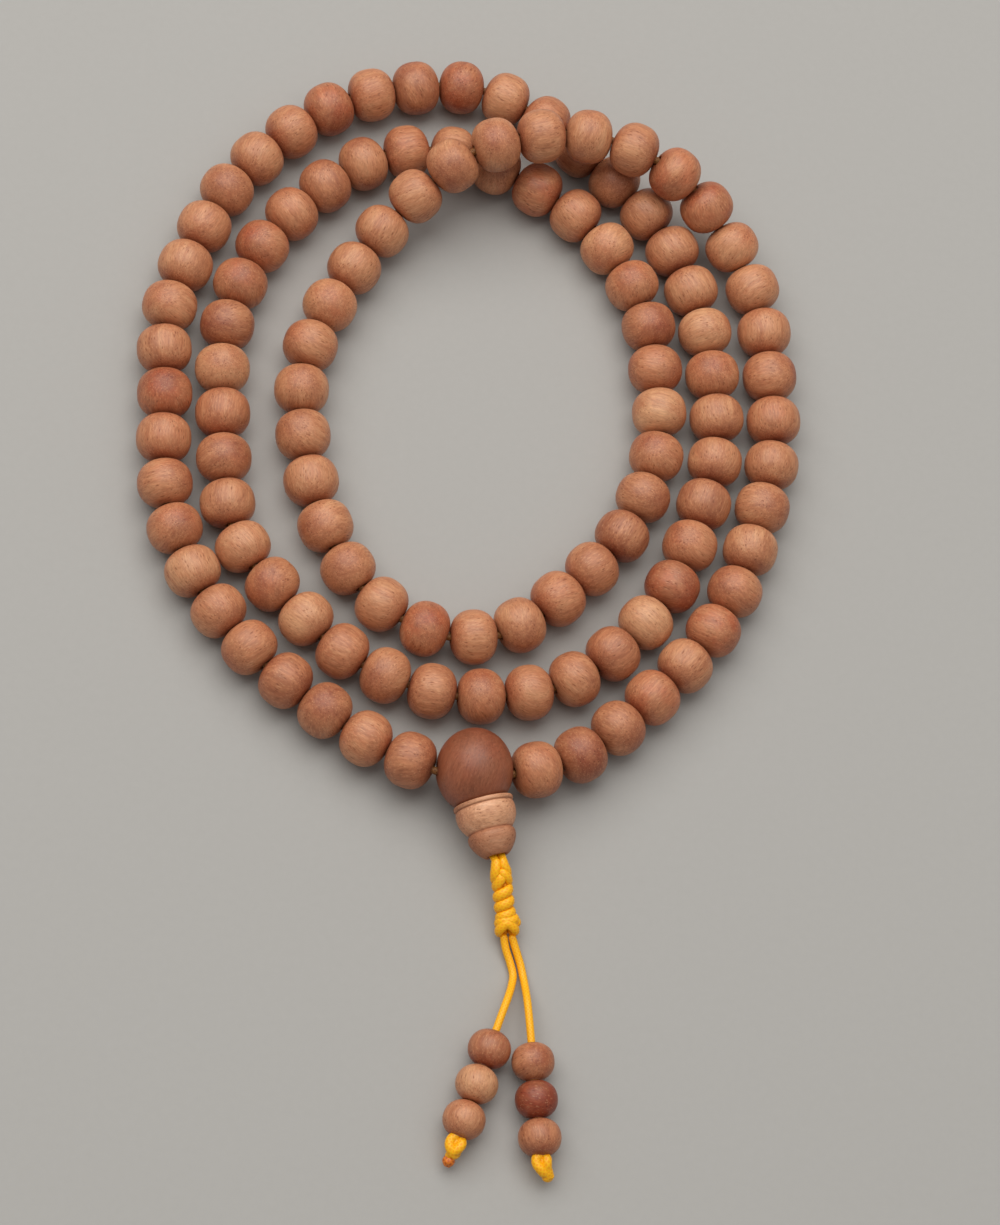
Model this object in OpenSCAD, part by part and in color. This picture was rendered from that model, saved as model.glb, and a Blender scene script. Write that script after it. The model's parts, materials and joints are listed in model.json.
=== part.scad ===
// A mala of 108 wooden beads on one cord, lying on a table in three turns.
// The strand starts and ends at the guru bead. Below it come the stupa bead, a braided knot
// and two counter cords, each with three small beads and an end knot.
// Millimetres. +Z is up from the table at z = 0, and the tail points along -Y.

/* [Main beads] */
// Diameter of a main bead
bead_d = 8; // [7.6:0.1:8]
// Length of a main bead along its hole
bead_len = 6.6; // [6.3:0.1:6.6]
// Diameter of the hole through a main bead
bead_hole_d = 1.7; // [1.6:0.1:2]

/* [Guru and stupa beads] */
// Diameter of the guru bead
guru_d = 12; // [11.6:0.1:12]
// Length of the guru bead along the strand
guru_len = 10.6; // [10.2:0.1:10.6]
// Diameter of the two side holes of the guru bead
guru_hole_d = 2; // [1.8:0.1:2.2]
// Diameter of the hole that the tail leaves by, in the guru and the stupa
tail_hole_d = 2.7; // [2.6:0.1:2.8]
// Widest diameter of the stupa bead
stupa_d = 8.5; // [8.2:0.1:8.6]
// Gap between the guru bead and the seat of the stupa bead
seat_gap = 0.2; // [0.15:0.05:0.3]

/* [Cord and knots] */
// Diameter of the cord
cord_d = 1.1; // [0.8:0.1:1.1]
// Diameter of the braided knot
braid_d = 2.9; // [2.6:0.1:3]
// Diameter of the finishing knot at the end of the braid
braid_end_d = 3.4; // [3:0.1:3.4]
// Number of turns in the braid
braid_turns = 5; // [4:1:8]
// Diameter of an end knot
end_knot_d = 3; // [2.6:0.1:3.1]

/* [Counter beads] */
// Diameter of a counter bead
counter_d = 6; // [5.6:0.1:6]
// Length of a counter bead along its hole
counter_len = 5.1; // [4.8:0.1:5.1]
// Distance between neighbouring counter beads along their cord
counter_step = 5.22; // [5.15:0.01:5.3]

/* [Hidden] */
bead_count = 108;
group_size = 9;
first_single = 73;
group_count = (first_single - 1) / group_size;
counters = 3;

// Smoothness of turned surfaces, and the sides of a cord
$fn = 48;
bead_fn = 96;
cord_sides = 8;
strand_steps = 6;
cord_steps = 2;

wood_tones = ["#b87a52", "#a9663f", "#c08a60", "#9c5a38", "#b3704a"];
guru_tone = "#8f4f33";
stupa_tone = "#bd8a64";
cord_tone = "#f2a51c";

// The guru bead rests on the table. Its side holes are turned a little from X
guru_at = [0.5, -45, guru_d / 2];
guru_turn = 0;
side_dir = [cos(guru_turn), sin(guru_turn), 0];

// The tail leans to the right and slopes down from the middle of the guru bead
tail_lean = 15.4;
tail_slope = 4;
tail_dir = [
    sin(tail_lean) * cos(tail_slope),
    -cos(tail_lean) * cos(tail_slope),
    -sin(tail_slope)
];

// Distances down the tail from the middle of the guru bead
stupa_end = 12.5;
braid_start = 14.1;
braid_top_at = guru_at + braid_start * tail_dir;
braid_end_at = [5.8, -67.1, 1.75];

// Route of the strand from the left of the guru bead round to its right: x, y and,
// where the strand is lifted off the table, how far
strand_points = [
    // first turn, up the left, over the top and down the right
    [-8.5, -43.8, 0.9], [-14.4, -40.6, 0.1], [-20, -37.1], [-25.6, -32.4], [-31.1, -28.7],
    [-35.2, -22.5], [-39.8, -17.6], [-41.8, -11], [-44.2, -4.6], [-44.2, 3],
    [-44.6, 17], [-44.8, 24], [-42.2, 30.4], [-39.8, 37], [-37, 43.3],
    [-33, 48.6], [-28, 53.4], [-22.6, 58], [-16.4, 61.4], [-9.2, 62.8],
    [-2, 64.4], [5, 62.6], [11.3, 59.4], [16.5, 54.6], [21.4, 50.2],
    [26.3, 45.1], [30.6, 39.4], [32.8, 32.8], [35.6, 26], [35.9, 19],
    [36.8, 12], [36.6, 5], [34.3, -2.1], [29.8, -15], [26.2, -20.6],
    // second turn, inside the first
    [21, -25.5], [15.9, -30.2], [9.3, -32.4], [2, -33.4], [-5, -33.4],
    [-12, -30.8], [-18.6, -27.9], [-23.6, -22.5], [-33.2, -12.2], [-35.3, -5.6],
    [-35.5, 1.6], [-36.1, 8.6], [-35.7, 23], [-33.8, 29.8], [-30.6, 35.8],
    [-22, 45.5], [-16.8, 49.8], [-10, 52.4], [-3.1, 53], [3.7, 50.9],
    [10.2, 47.2], [16.2, 43.9], [20.6, 38.4], [27, 26.4], [27.4, 19.4],
    [28, 5.5], [25.4, -1.2], [22.7, -8], [17.8, -13], [12.8, -18], [7.6, -22.6], [1, -24.9],
    // third turn, innermost on the left
    [-6, -24.1], [-12.5, -20.6], [-17.8, -15.3], [-20.8, -8.8], [-23.2, -2.2], [-24.2, 4.6],
    [-25, 11.7], [-23.9, 19], [-21.2, 25.8], [-17.4, 32, 0.1], [-14, 38, 0.5],
    [-9.5, 42.7, 2.6], [-4.6, 46.6, 5.8],
    // the third turn passes over the other two
    [1.2, 49.9, 8.4], [7.7, 51.8, 8], [14.6, 53, 8], [21.6, 52, 8],
    [28.1, 48.7, 8], [34.3, 45.4, 4.6], [39, 40.2, 1.2],
    // and goes down the right outside them
    [42.5, 34, 0.1], [44.4, 27], [44.6, 19.6], [45.4, 12], [45, 4.8], [43, -2.2],
    [41.3, -8.8], [38.8, -15.6], [35.6, -21.5], [31.2, -27.6], [26, -32.3],
    [21.2, -37.6, 0.1], [15.4, -41.8, 0.3], [9.6, -44.7, 0.9]
];

// Routes of the counter cords, from the braid down to where they run straight
left_points = [
    [5.3, -67.6, 1.5], [5.6, -69, 1.1], [6.3, -71, 0.7],
    [6.7, -72.8, 0.7], [6.4, -74.4, 1.3], [5.8, -76.2, 2.4]
];
right_points = [
    [6.5, -67.6, 1.5], [7, -69, 1.1], [7.7, -71, 0.7],
    [8.1, -72.8, 0.7], [8.3, -74.6, 1.4], [8.4, -76.4, 2.4]
];
// Where the straight ends start, and the way they point
left_straight_at = [4.9, -78.6, counter_d / 2];
right_straight_at = [8.55, -78.8, counter_d / 2];
left_dir = unit([-0.35, -1, 0]);
right_dir = unit([0.085, -1, 0]);
// Distance along the straight ends to their first counter bead
left_first = 5.5;
right_first = 6.6;
end_knot_slope = 24;

function unit(v) = v / norm(v);
function padded(i) = str(i < 10 ? "00" : i < 100 ? "0" : "", i);
function group_name(g) = str("beads_", padded(g * group_size + 1), "_", padded((g + 1) * group_size));
function single_name(i) = str("bead_", padded(i));
function counter_bead_name(side, i) = str("counter_bead_", side, "_", i);

// Smooth curve: its direction at point i, a point on it after point i, and the whole of it
// with a number of steps from each point to the next
function heading(p, i) =
    i == 0 ? unit(p[1] - p[0]) :
    i == len(p) - 1 ? unit(p[i] - p[i - 1]) :
    let (back = p[i] - p[i - 1], ahead = p[i + 1] - p[i], b = norm(back), a = norm(ahead))
    (back * a / b + ahead * b / a) / (a + b);
function curve_at(p, i, t) =
    let (span = norm(p[i + 1] - p[i]))
    p[i] * (2 * t ^ 3 - 3 * t ^ 2 + 1)
    + p[i + 1] * (3 * t ^ 2 - 2 * t ^ 3)
    + heading(p, i) * span * (t ^ 3 - 2 * t ^ 2 + t)
    + heading(p, i + 1) * span * (t ^ 3 - t ^ 2);
function smooth(p, steps) = [
    for (i = [0 : len(p) - 2], k = [0 : steps - 1]) curve_at(p, i, k / steps),
    p[len(p) - 1]
];

// Distance travelled along a path at each of its points, paired with the point's number
function travel(p) = [
    for (i = 0, s = 0; i < len(p); i = i + 1, s = s + (i < len(p) ? norm(p[i] - p[i - 1]) : 0))
        [s, i]
];
function point_at(p, table, distance) =
    let (n = lookup(distance, table), i = min(floor(n), len(p) - 2))
    p[i] + (p[i + 1] - p[i]) * (n - i);

// The strand's path between the two faces of the guru bead
// table_gap keeps the beads off the table by a hair; the cord lies low in the guru's side holes
table_gap = 0.03;
guru_gap = 0.4;
cord_drop = [0, 0, -0.35];
function lifted(p) = [p[0], p[1], bead_d / 2 + table_gap + (len(p) > 2 ? p[2] : 0)];
to_guru_face = (guru_len / 2 + guru_gap) * side_dir;
strand = smooth(
    concat(
        [guru_at - to_guru_face + cord_drop],
        [for (p = strand_points) lifted(p)],
        [guru_at + to_guru_face + cord_drop]
    ),
    strand_steps
);
strand_travel = travel(strand);
strand_length = strand_travel[len(strand) - 1][0];

// The beads stand a little apart between loose_from and loose_to, and close together elsewhere
loose_from = 72;
loose_to = 98;
loose_gap = 0.19;
pitch = (strand_length - loose_gap * (loose_to - loose_from)) / bead_count;
function gap_distance(i) = i * pitch + loose_gap * (min(max(i, loose_from), loose_to) - loose_from);

// The strand bends at the gaps between beads and is straight inside each bead
gaps = [for (i = [0 : bead_count]) point_at(strand, strand_travel, gap_distance(i))];
function bead_at(i) = (gaps[i - 1] + gaps[i]) / 2;
function bead_dir(i) = unit(gaps[i] - gaps[i - 1]);

function left_bead_at(i) = left_straight_at + (left_first + (i - 1) * counter_step) * left_dir;
function right_bead_at(i) = right_straight_at + (right_first + (i - 1) * counter_step) * right_dir;

// Where each counter cord ends inside its end knot
knot_overlap = 0.6;
knot_gap = 0.1;
to_knot = counter_len / 2 + knot_gap;
left_knot_at = left_bead_at(counters) + to_knot * left_dir;
right_knot_at = right_bead_at(counters) + to_knot * right_dir;
left_cord = concat(
    smooth(concat(left_points, [left_straight_at]), cord_steps),
    [left_knot_at + knot_overlap * left_dir]
);
right_cord = concat(
    smooth(concat(right_points, [right_straight_at]), cord_steps),
    [right_knot_at + knot_overlap * right_dir]
);

// Both ends of the main cord turn down the tail hole, side by side
tail_side = unit(cross([0, 0, 1], tail_dir));
between_cords = 0.15;
turn_down = 0.3;
left_of_tail = guru_at - (cord_d + between_cords) / 2 * tail_side;
right_of_tail = guru_at + (cord_d + between_cords) / 2 * tail_side;
main_path = concat(
    [left_of_tail + stupa_end * tail_dir, left_of_tail + turn_down * tail_dir],
    gaps,
    [right_of_tail + turn_down * tail_dir, right_of_tail + stupa_end * tail_dir]
);

// Turns Z to a direction, and moves to a point
module place(at, dir) {
    translate(at) rotate([0, acos(dir[2]), atan2(dir[1], dir[0])]) children();
}

// Half of the outline of a bead: a round edge of radius len / 2 about a small ring
module bead_outline(d, len, inner_d) {
    intersection() {
        translate([(d - len) / 2, 0]) circle(r = len / 2, $fn = bead_fn);
        translate([inner_d / 2, -len]) square([d, 2 * len]);
    }
}

module turned_bead(d, len, hole_d) {
    rotate_extrude() bead_outline(d, len, hole_d);
}

// A tube of a given diameter along a path that is never upright
module tube(path, d) {
    last = len(path) - 1;
    function along(i) = unit(path[min(i + 1, last)] - path[max(i - 1, 0)]);
    rings = [
        for (i = [0 : last])
            let (ahead = along(i), side = unit(cross([0, 0, 1], ahead)), up = cross(ahead, side))
            for (k = [0 : cord_sides - 1])
                let (a = 360 * k / cord_sides)
                path[i] + d / 2 * (cos(a) * side + sin(a) * up)
    ];
    polyhedron(
        points = rings,
        faces = concat(
            [[for (k = [0 : cord_sides - 1]) k]],
            [
                for (i = [0 : last - 1], k = [0 : cord_sides - 1])
                    let (a = i * cord_sides, b = a + cord_sides, next = (k + 1) % cord_sides)
                    [a + k, b + k, b + next, a + next]
            ],
            [[for (k = [cord_sides - 1 : -1 : 0]) last * cord_sides + k]]
        )
    );
}

module main_string() {
    color(cord_tone) tube(main_path, cord_d);
}

module guru_bead() {
    color(guru_tone) difference() {
        place(guru_at, side_dir) turned_bead(guru_d, guru_len, 0);
        place(guru_at - guru_d * side_dir, side_dir) cylinder(h = 2 * guru_d, d = guru_hole_d);
        place(guru_at, tail_dir) cylinder(h = guru_d, d = tail_hole_d);
    }
}

// Points of an arc round [x, y], from angle a to angle b
function arc(x, y, r, a, b, steps) = [
    for (k = [0 : steps]) let (t = a + (b - a) * k / steps) [x + r * cos(t), y + r * sin(t)]
];

// The stupa bead's outline as distance from its axis and distance down the tail:
// a seat that fits the guru bead, a rim, a bulging body, a groove and a tapering foot
stupa_r = stupa_d / 2;
stupa_bore = tail_hole_d / 2;
seat_r = guru_d / 2 + seat_gap;
seat_edge = acos((stupa_r - 0.15) / seat_r);
stupa_outline = concat(
    arc(0, 0, seat_r, acos(stupa_bore / seat_r), seat_edge, 6),
    [
        [stupa_r - 0.02, 4.75], [stupa_r - 0.02, 5.2], [stupa_r - 0.2, 5.3], [stupa_r - 0.18, 5.45],
        [stupa_r - 0.03, 5.7], [stupa_r, 6.4], [stupa_r - 0.1, 7.1], [stupa_r - 0.35, 7.8],
        [stupa_r - 0.75, 8.5], [stupa_r - 1.15, 9],
        [stupa_r - 1, 9.15], [stupa_r - 0.85, 9.6], [stupa_r - 0.95, 10.2], [stupa_r - 1.3, 11],
        [stupa_r - 1.75, 11.8], [stupa_r - 2.2, stupa_end], [stupa_bore, stupa_end]
    ]
);
module stupa_bead() {
    color(stupa_tone) place(guru_at, tail_dir) rotate_extrude() polygon(stupa_outline);
}

// The braid: a rounded top, even turns, and a wider finishing knot of two turns
braid_vec = braid_end_at - braid_top_at;
braid_len = norm(braid_vec);
finish_len = 2.3;
turn_len = (braid_len - finish_len) / braid_turns;
turn_depth = 0.18;
braid_outline = concat(
    arc(0, 0, braid_d / 2 - turn_depth, -90, 0, 5),
    [
        for (i = [0 : braid_turns - 1]) each [
            [braid_d / 2 - turn_depth, i * turn_len + 0.02],
            [braid_d / 2, (i + 0.3) * turn_len],
            [braid_d / 2, (i + 0.7) * turn_len]
        ]
    ],
    [
        [braid_d / 2 - turn_depth, braid_len - finish_len],
        [braid_end_d / 2, braid_len - finish_len + 0.4],
        [braid_end_d / 2, braid_len - finish_len + 0.9],
        [braid_end_d / 2 - turn_depth, braid_len - finish_len / 2],
        [braid_end_d / 2, braid_len - 0.9],
        [braid_end_d / 2, braid_len - 0.5],
        [braid_end_d / 2 - 0.4, braid_len - 0.1],
        [0, braid_len]
    ]
);
module snake_knot() {
    color(cord_tone) place(braid_top_at, unit(braid_vec)) rotate_extrude() polygon(braid_outline);
}

// An end knot: a round knot and the short cut end of the cord beyond it
module end_knot(at, dir) {
    knot_r = end_knot_d / 2;
    outline = [
        [0, 0], [knot_r - 0.6, 0], [knot_r - 0.1, 0.5], [knot_r, 1.1], [knot_r - 0.1, 1.8],
        [knot_r - 0.5, 2.4], [knot_r - 0.75, 2.7], [knot_r - 0.5, 3.2], [knot_r - 0.6, 3.8], [0, 4.1]
    ];
    down = [dir[0] * cos(end_knot_slope), dir[1] * cos(end_knot_slope), -sin(end_knot_slope)];
    color(cord_tone) place(at, down) rotate_extrude() polygon(outline);
}
module end_knot_left() {
    end_knot(left_knot_at, left_dir);
}
module end_knot_right() {
    end_knot(right_knot_at, right_dir);
}

module counter_cord_left() {
    color(cord_tone) tube(left_cord, cord_d);
}
module counter_cord_right() {
    color(cord_tone) tube(right_cord, cord_d);
}

module counter_bead(at, dir, tone) {
    color(tone) place(at, dir) turned_bead(counter_d, counter_len, bead_hole_d);
}
module counter_bead_left(i) {
    counter_bead(left_bead_at(i), left_dir, wood_tones[i]);
}
module counter_bead_right(i) {
    counter_bead(right_bead_at(i), right_dir, wood_tones[i + 1]);
}

// The wood's tone changes from bead to bead in no simple order
function tone_number(i) = (3 * i + floor(i / 4)) % len(wood_tones);
module strand_bead(i) {
    color(wood_tones[tone_number(i)])
        place(bead_at(i), bead_dir(i)) turned_bead(bead_d, bead_len, bead_hole_d);
}
module bead_group(g) {
    for (i = [1 : group_size]) strand_bead(g * group_size + i);
}

main_string();
guru_bead();
stupa_bead();
snake_knot();
counter_cord_left();
counter_cord_right();
end_knot_left();
end_knot_right();
for (i = [1 : counters]) {
    counter_bead_left(i);
    counter_bead_right(i);
}
for (g = [0 : group_count - 1]) bead_group(g);
for (i = [first_single : bead_count]) strand_bead(i);
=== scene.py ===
import json
import math
import random

import bpy
import numpy as np
from mathutils import Matrix, Quaternion, Vector


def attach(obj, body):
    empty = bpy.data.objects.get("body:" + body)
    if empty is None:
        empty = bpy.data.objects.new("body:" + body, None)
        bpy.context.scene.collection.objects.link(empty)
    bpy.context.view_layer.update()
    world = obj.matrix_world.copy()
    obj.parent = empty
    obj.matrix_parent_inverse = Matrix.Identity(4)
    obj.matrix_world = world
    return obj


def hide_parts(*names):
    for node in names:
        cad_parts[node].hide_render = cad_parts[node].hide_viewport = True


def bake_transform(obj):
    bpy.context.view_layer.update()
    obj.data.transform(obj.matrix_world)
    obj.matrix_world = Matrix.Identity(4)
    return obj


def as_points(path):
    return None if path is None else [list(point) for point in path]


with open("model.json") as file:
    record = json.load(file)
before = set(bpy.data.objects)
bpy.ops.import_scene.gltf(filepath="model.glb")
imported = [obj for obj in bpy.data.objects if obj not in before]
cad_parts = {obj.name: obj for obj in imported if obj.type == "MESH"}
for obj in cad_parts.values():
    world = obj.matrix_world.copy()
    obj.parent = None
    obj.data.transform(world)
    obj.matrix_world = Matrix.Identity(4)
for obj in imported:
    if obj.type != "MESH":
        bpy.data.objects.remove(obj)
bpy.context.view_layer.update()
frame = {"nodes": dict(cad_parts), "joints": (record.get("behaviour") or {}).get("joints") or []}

MM = 0.001
JOINTS = {j["name"]: j for j in frame["joints"]}
NODES = frame["nodes"]
UPRIGHT = Vector((0, 0, 1))
scene = bpy.context.scene


# ---------------------------------------------------------------- camera

LENS, SENSOR = 100, 36
TILT, SIDEWAYS_TILT = math.radians(20.5), math.radians(-8.5)
AIM = Vector((5, -19, 0)) * MM
CAMERA_DISTANCE = 0.49


def add_camera():
    """A long lens that looks down on the strand from the photograph's angle."""
    data = bpy.data.cameras.new("camera")
    data.lens = LENS
    data.sensor_width = SENSOR
    data.clip_start = 0.01
    camera = bpy.data.objects.new("camera", data)
    scene.collection.objects.link(camera)
    camera.rotation_euler = (TILT, SIDEWAYS_TILT, 0)
    back = camera.rotation_euler.to_matrix() @ UPRIGHT
    camera.location = AIM + back * CAMERA_DISTANCE
    scene.camera = camera


add_camera()


# ---------------------------------------------------------------- shapes

SPAN_STEPS = 16  # points a smooth curve is first worked out at, between two given points
END_ROUNDING = 0.06  # smallest square of a tube's relative radius, at its very ends


def new_piece(name, verts, faces, body, stands_for=None):
    """A smooth mesh piece in metres, riding on a body if one is named, in place of a CAD node."""
    mesh = bpy.data.meshes.new(name)
    mesh.from_pydata([tuple(v) for v in verts], [], faces)
    mesh.update()
    mesh.polygons.foreach_set("use_smooth", [True] * len(mesh.polygons))
    piece = bpy.data.objects.new(name, mesh)
    scene.collection.objects.link(piece)
    if body:
        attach(piece, body)
    if stands_for:
        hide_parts(stands_for)
    return piece


def store(piece, name, kind, values):
    """Stores one value for each vertex, for a material to read."""
    layer = piece.data.attributes.new(name, kind, "POINT")
    layer.data.foreach_set("vector" if kind == "FLOAT_VECTOR" else "value", np.ravel(values))


def path_length(path):
    return sum((b - a).length for a, b in zip(path, path[1:]))


def smooth_path(points, step):
    """A smooth curve through the points, as points about a step apart."""
    p = [Vector(q) for q in points]
    last = len(p) - 1

    def heading(i):
        """The curve's direction at a given point, pulled towards the shorter span beside it."""
        if i == 0:
            return (p[1] - p[0]).normalized()
        if i == last:
            return (p[last] - p[last - 1]).normalized()
        back, ahead = p[i] - p[i - 1], p[i + 1] - p[i]
        b, a = back.length, ahead.length
        return (back * (a / b) + ahead * (b / a)) / (a + b)

    fine = []
    for i in range(last):
        span = (p[i + 1] - p[i]).length
        h0, h1 = heading(i) * span, heading(i + 1) * span
        for k in range(SPAN_STEPS):
            t = k / SPAN_STEPS
            fine.append(
                p[i] * (2 * t**3 - 3 * t**2 + 1) + p[i + 1] * (3 * t**2 - 2 * t**3)
                + h0 * (t**3 - 2 * t**2 + t) + h1 * (t**3 - t**2)
            )
    fine.append(p[last])
    far = [0.0]
    for a, b in zip(fine, fine[1:]):
        far.append(far[-1] + (b - a).length)
    count = max(2, round(far[-1] / step))
    xs = np.linspace(0, far[-1], count + 1)
    return [Vector([np.interp(x, far, [q[axis] for q in fine]) for axis in range(3)]) for x in xs]


def tube(path, radius, sides, shape=None, outward=None):
    """A closed tube with round ends along a path: vertices, faces and each vertex's weave data.
    shape(angle, distance, whole) gives how far the surface is from the path, times the radius.
    outward(point) gives the direction of angle 0. Without it the direction follows the path."""
    last = len(path) - 1
    whole = path_length(path)
    side = None
    rings, weave, far = [], [], 0.0
    for i, at in enumerate(path):
        ahead = (path[min(i + 1, last)] - path[max(i - 1, 0)]).normalized()
        far += (at - path[i - 1]).length if i else 0.0
        if outward:
            side = outward(at)
        elif side is None:
            side = UPRIGHT.cross(ahead) if abs(ahead.z) < 0.9 else ahead.orthogonal()
        side = (side - ahead * side.dot(ahead)).normalized()
        up = ahead.cross(side)
        from_end = min(far, whole - far, radius) / radius
        squeeze = math.sqrt(max(END_ROUNDING, 1 - (1 - from_end) ** 2))
        for k in range(sides):
            a = 2 * math.pi * k / sides
            r = radius * squeeze * (shape(a, far, whole) if shape else 1.0)
            rings.append(at + (side * math.cos(a) + up * math.sin(a)) * r)
            weave.append((math.cos(a), math.sin(a), far / MM))
    faces = []
    for i in range(last):
        for k in range(sides):
            n = (k + 1) % sides
            a, b = i * sides, (i + 1) * sides
            faces.append((a + k, a + n, b + n, b + k))
    faces.append(tuple(reversed(range(sides))))
    faces.append(tuple(last * sides + k for k in range(sides)))
    return rings, faces, weave


def lathe(outline, sides):
    """A turned body about local Z from a closed outline of (radius, height)."""
    n = len(outline)
    verts = []
    for r, z in outline:
        for k in range(sides):
            a = 2 * math.pi * k / sides
            verts.append(Vector((r * math.cos(a), r * math.sin(a), z)))
    faces = []
    for i in range(n):
        a, b = i * sides, ((i + 1) % n) * sides
        for k in range(sides):
            m = (k + 1) % sides
            faces.append((a + k, b + k, b + m, a + m))
    return verts, faces


def turned(at, direction):
    """The matrix that takes local Z to a direction, and local millimetres to metres at a point."""
    z = Vector(direction).normalized()
    x = UPRIGHT.cross(z).normalized()
    m = Matrix((x, z.cross(x), z)).transposed() * MM
    m = m.to_4x4()
    m.translation = at
    return m


# ---------------------------------------------------------------- materials

def new_material(name):
    """An empty material, a net to add nodes with, and its shader."""
    material = bpy.data.materials.new(name)
    material.use_nodes = True
    tree = material.node_tree
    tree.nodes.clear()
    out = tree.nodes.new("ShaderNodeOutputMaterial")
    shader = tree.nodes.new("ShaderNodeBsdfPrincipled")
    tree.links.new(shader.outputs[0], out.inputs[0])
    return material, Net(tree), shader


class Net:
    """Short ways to add shader nodes to one tree."""

    def __init__(self, tree):
        self.tree = tree

    def put(self, socket, value):
        """Links a node's output to a socket, or sets the socket to a constant."""
        if hasattr(value, "is_output"):
            self.tree.links.new(value, socket)
        else:
            socket.default_value = value

    def math(self, how, a, b=0.0):
        node = self.tree.nodes.new("ShaderNodeMath")
        node.operation = how
        self.put(node.inputs[0], a)
        self.put(node.inputs[1], b)
        return node.outputs[0]

    def add(self, a, b):
        return self.math("ADD", a, b)

    def times(self, a, b):
        return self.math("MULTIPLY", a, b)

    def vector(self, how, a, b=(0, 0, 0)):
        node = self.tree.nodes.new("ShaderNodeVectorMath")
        node.operation = how
        self.put(node.inputs[0], a)
        self.put(node.inputs[3 if how == "SCALE" else 1], b)
        return node.outputs[0]

    def split(self, a):
        node = self.tree.nodes.new("ShaderNodeSeparateXYZ")
        self.put(node.inputs[0], a)
        return node.outputs

    def attribute(self, name, out="Vector"):
        node = self.tree.nodes.new("ShaderNodeAttribute")
        node.attribute_name = name
        return node.outputs[out]

    def object_place(self):
        return self.tree.nodes.new("ShaderNodeTexCoord").outputs["Object"]

    def noise(self, at, scale=1.0, detail=2.0, rough=0.5, out="Fac"):
        node = self.tree.nodes.new("ShaderNodeTexNoise")
        self.put(node.inputs["Vector"], at)
        node.inputs["Scale"].default_value = scale
        node.inputs["Detail"].default_value = detail
        node.inputs["Roughness"].default_value = rough
        return node.outputs[out]

    def stretched(self, at, scales, detail=2.0, rough=0.5):
        return self.noise(self.vector("MULTIPLY", at, scales), 1.0, detail, rough)

    def cells(self, at, scales):
        """Distance to the nearest of many scattered points."""
        node = self.tree.nodes.new("ShaderNodeTexVoronoi")
        self.put(node.inputs["Vector"], self.vector("MULTIPLY", at, scales))
        node.inputs["Scale"].default_value = 1.0
        return node.outputs["Distance"]

    def ramp(self, value, low, high, to_low=0.0, to_high=1.0):
        node = self.tree.nodes.new("ShaderNodeMapRange")
        node.interpolation_type = "SMOOTHSTEP"
        for socket, v in zip(node.inputs, (value, low, high, to_low, to_high)):
            self.put(socket, v)
        return node.outputs[0]

    def colours(self, value, stops):
        node = self.tree.nodes.new("ShaderNodeValToRGB")
        self.put(node.inputs[0], value)
        elements = node.color_ramp.elements
        for element, (position, colour) in zip(list(elements), (stops[0], stops[-1])):
            element.position, element.color = position, (*colour, 1)
        for position, colour in stops[1:-1]:
            elements.new(position).color = (*colour, 1)
        return node.outputs[0]

    def mix(self, how, factor, a, b):
        node = self.tree.nodes.new("ShaderNodeMix")
        node.data_type, node.blend_type = "RGBA", how
        self.put(node.inputs["Factor"], factor)
        self.put(node.inputs[6], a)
        self.put(node.inputs[7], b)
        return node.outputs[2]

    def bump(self, height, distance, strength):
        node = self.tree.nodes.new("ShaderNodeBump")
        node.inputs["Strength"].default_value = strength
        node.inputs["Distance"].default_value = distance
        self.put(node.inputs["Height"], height)
        return node.outputs[0]


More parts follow.
